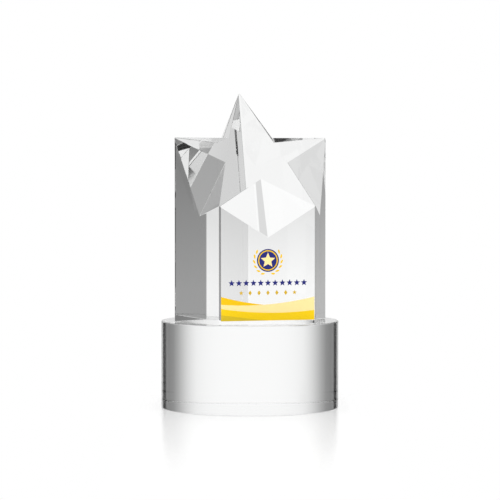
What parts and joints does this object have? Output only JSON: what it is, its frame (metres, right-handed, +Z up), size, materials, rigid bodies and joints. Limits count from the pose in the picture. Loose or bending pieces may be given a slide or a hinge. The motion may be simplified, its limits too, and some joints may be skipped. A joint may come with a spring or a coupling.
{
  "type": "star trophy",
  "caption": "Crystal trophy: a five-sided column cut to a sloping star at the top, on a round crystal base, with a colour print on its front face.",
  "frame": {"origin": "middle of the round base's underside", "axes": "+Z up, -Y out of the printed front face, +X to the right of a person who reads the front"},
  "size_m": [0.1, 0.1, 0.1775],
  "materials": {
    "crystal": "polished optical crystal",
    "adhesive": "clear cured adhesive",
    "white_ink": "satin cured ink",
    "navy_ink": "satin cured ink",
    "gold_ink": "satin cured ink",
    "pale_ink": "satin cured ink",
    "yellow_ink": "satin cured ink",
    "ochre_ink": "satin cured ink"
  },
  "bodies": {
    "root": {"star_column": "crystal", "round_base": "crystal", "adhesive_film": "adhesive", "print_underbase": "white_ink", "wave_gold_sweep": "gold_ink", "wave_pale_sweep": "pale_ink", "wave_yellow_field": "yellow_ink", "wave_ochre_sweep": "ochre_ink", "emblem_navy_field": "navy_ink", "emblem_gold_parts": "gold_ink", "emblem_pale_star": "pale_ink", "upper_mark_row": "navy_ink", "lower_mark_row": "gold_ink"}
  },
  "joints": []
}
